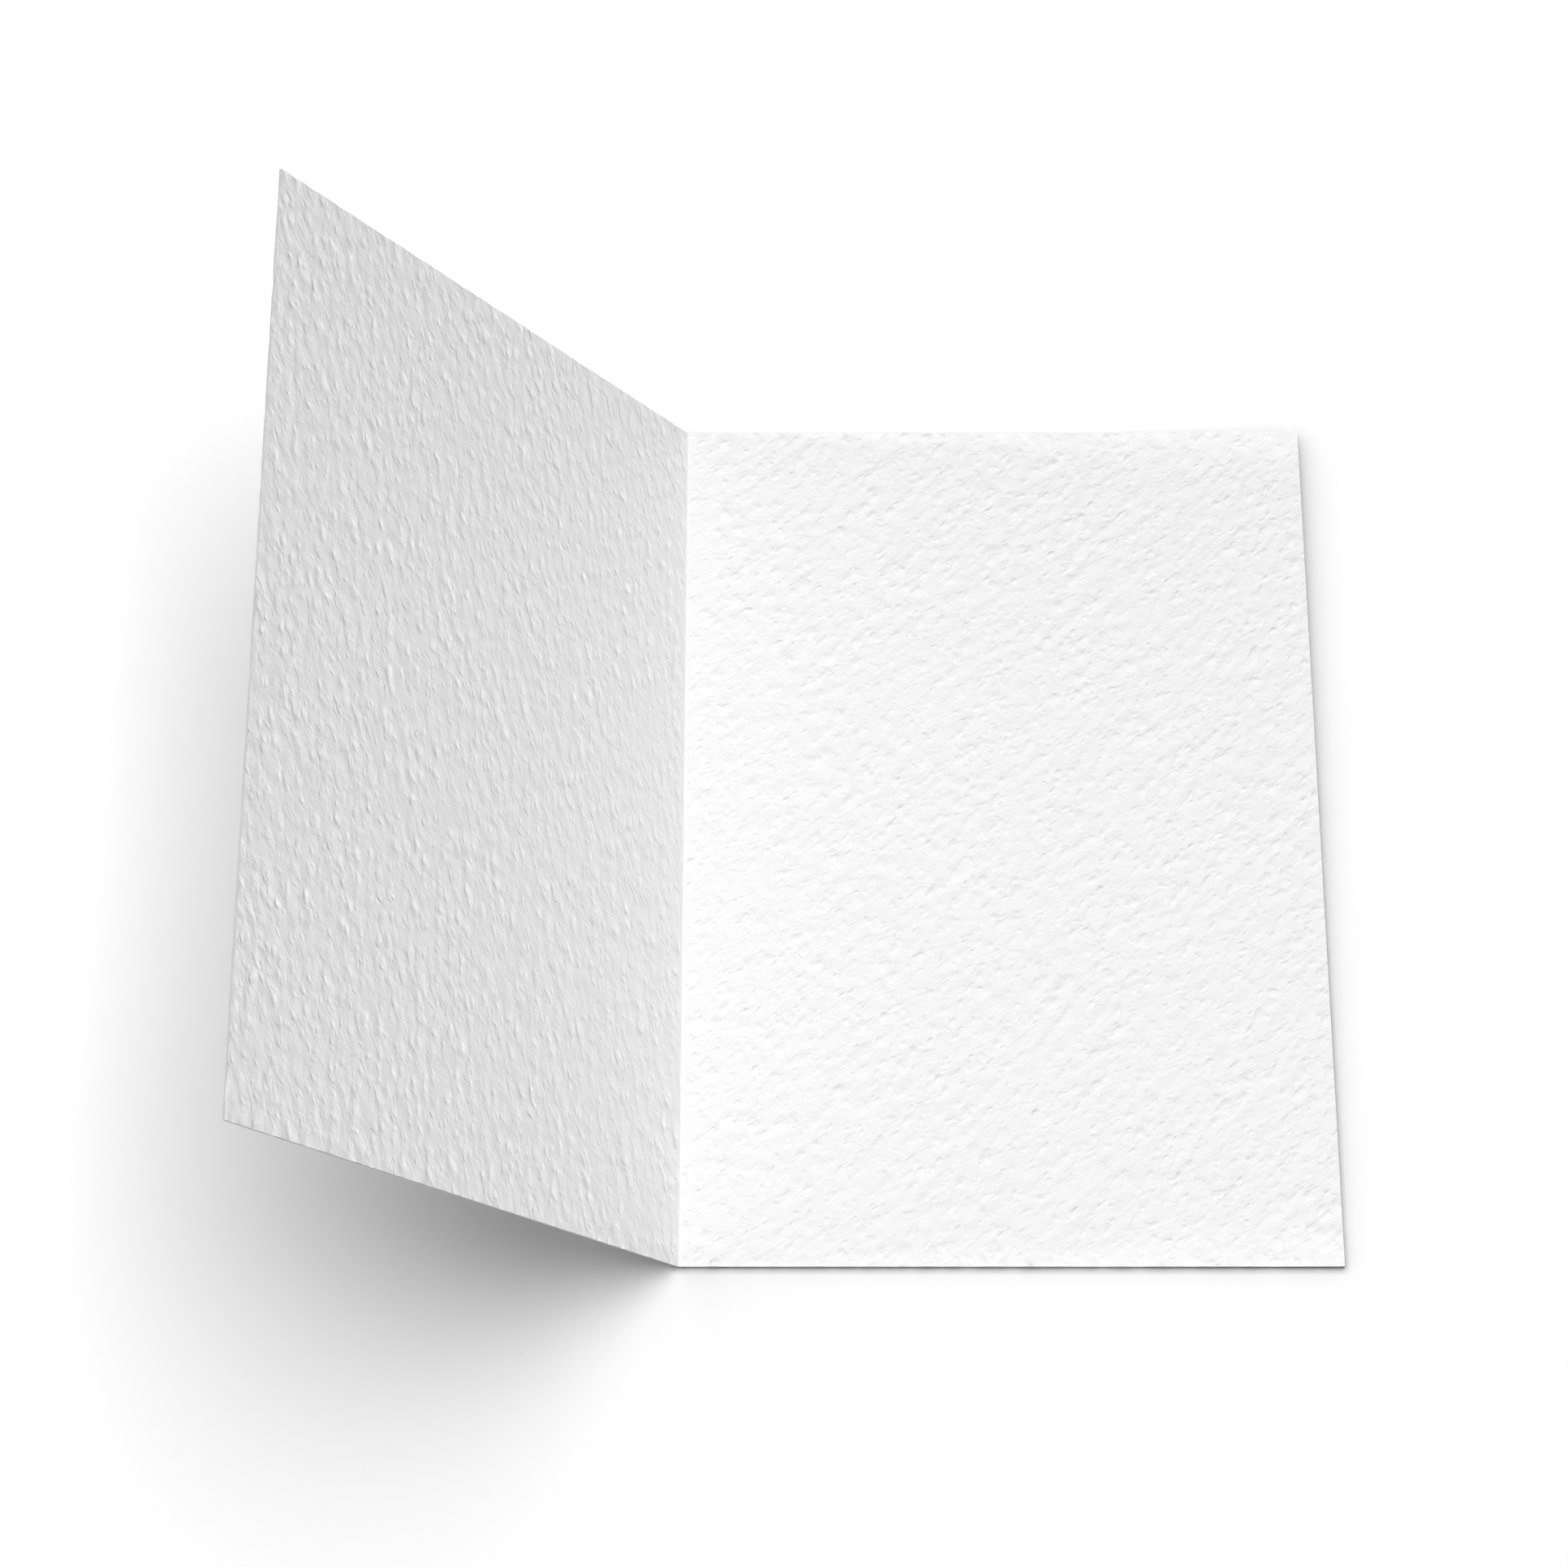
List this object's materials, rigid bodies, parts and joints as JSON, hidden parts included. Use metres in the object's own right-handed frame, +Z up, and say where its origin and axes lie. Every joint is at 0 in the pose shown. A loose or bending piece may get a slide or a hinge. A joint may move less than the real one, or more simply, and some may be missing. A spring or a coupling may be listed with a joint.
{
  "type": "folded card",
  "caption": "Blank card of heavy textured stock, scored and folded once, lying on its back leaf with the front leaf standing open.",
  "frame": {"origin": "middle of the flat underside of the back leaf, at table level", "axes": "+X from the fold to the free edge of the back leaf, +Y along the fold, +Z up from the table"},
  "size_m": [0.1777, 0.1588, 0.0954],
  "materials": {
    "card_stock": "uncoated white felt-marked stock, matte"
  },
  "bodies": {
    "root": {"folded_card": "card_stock"}
  },
  "joints": []
}
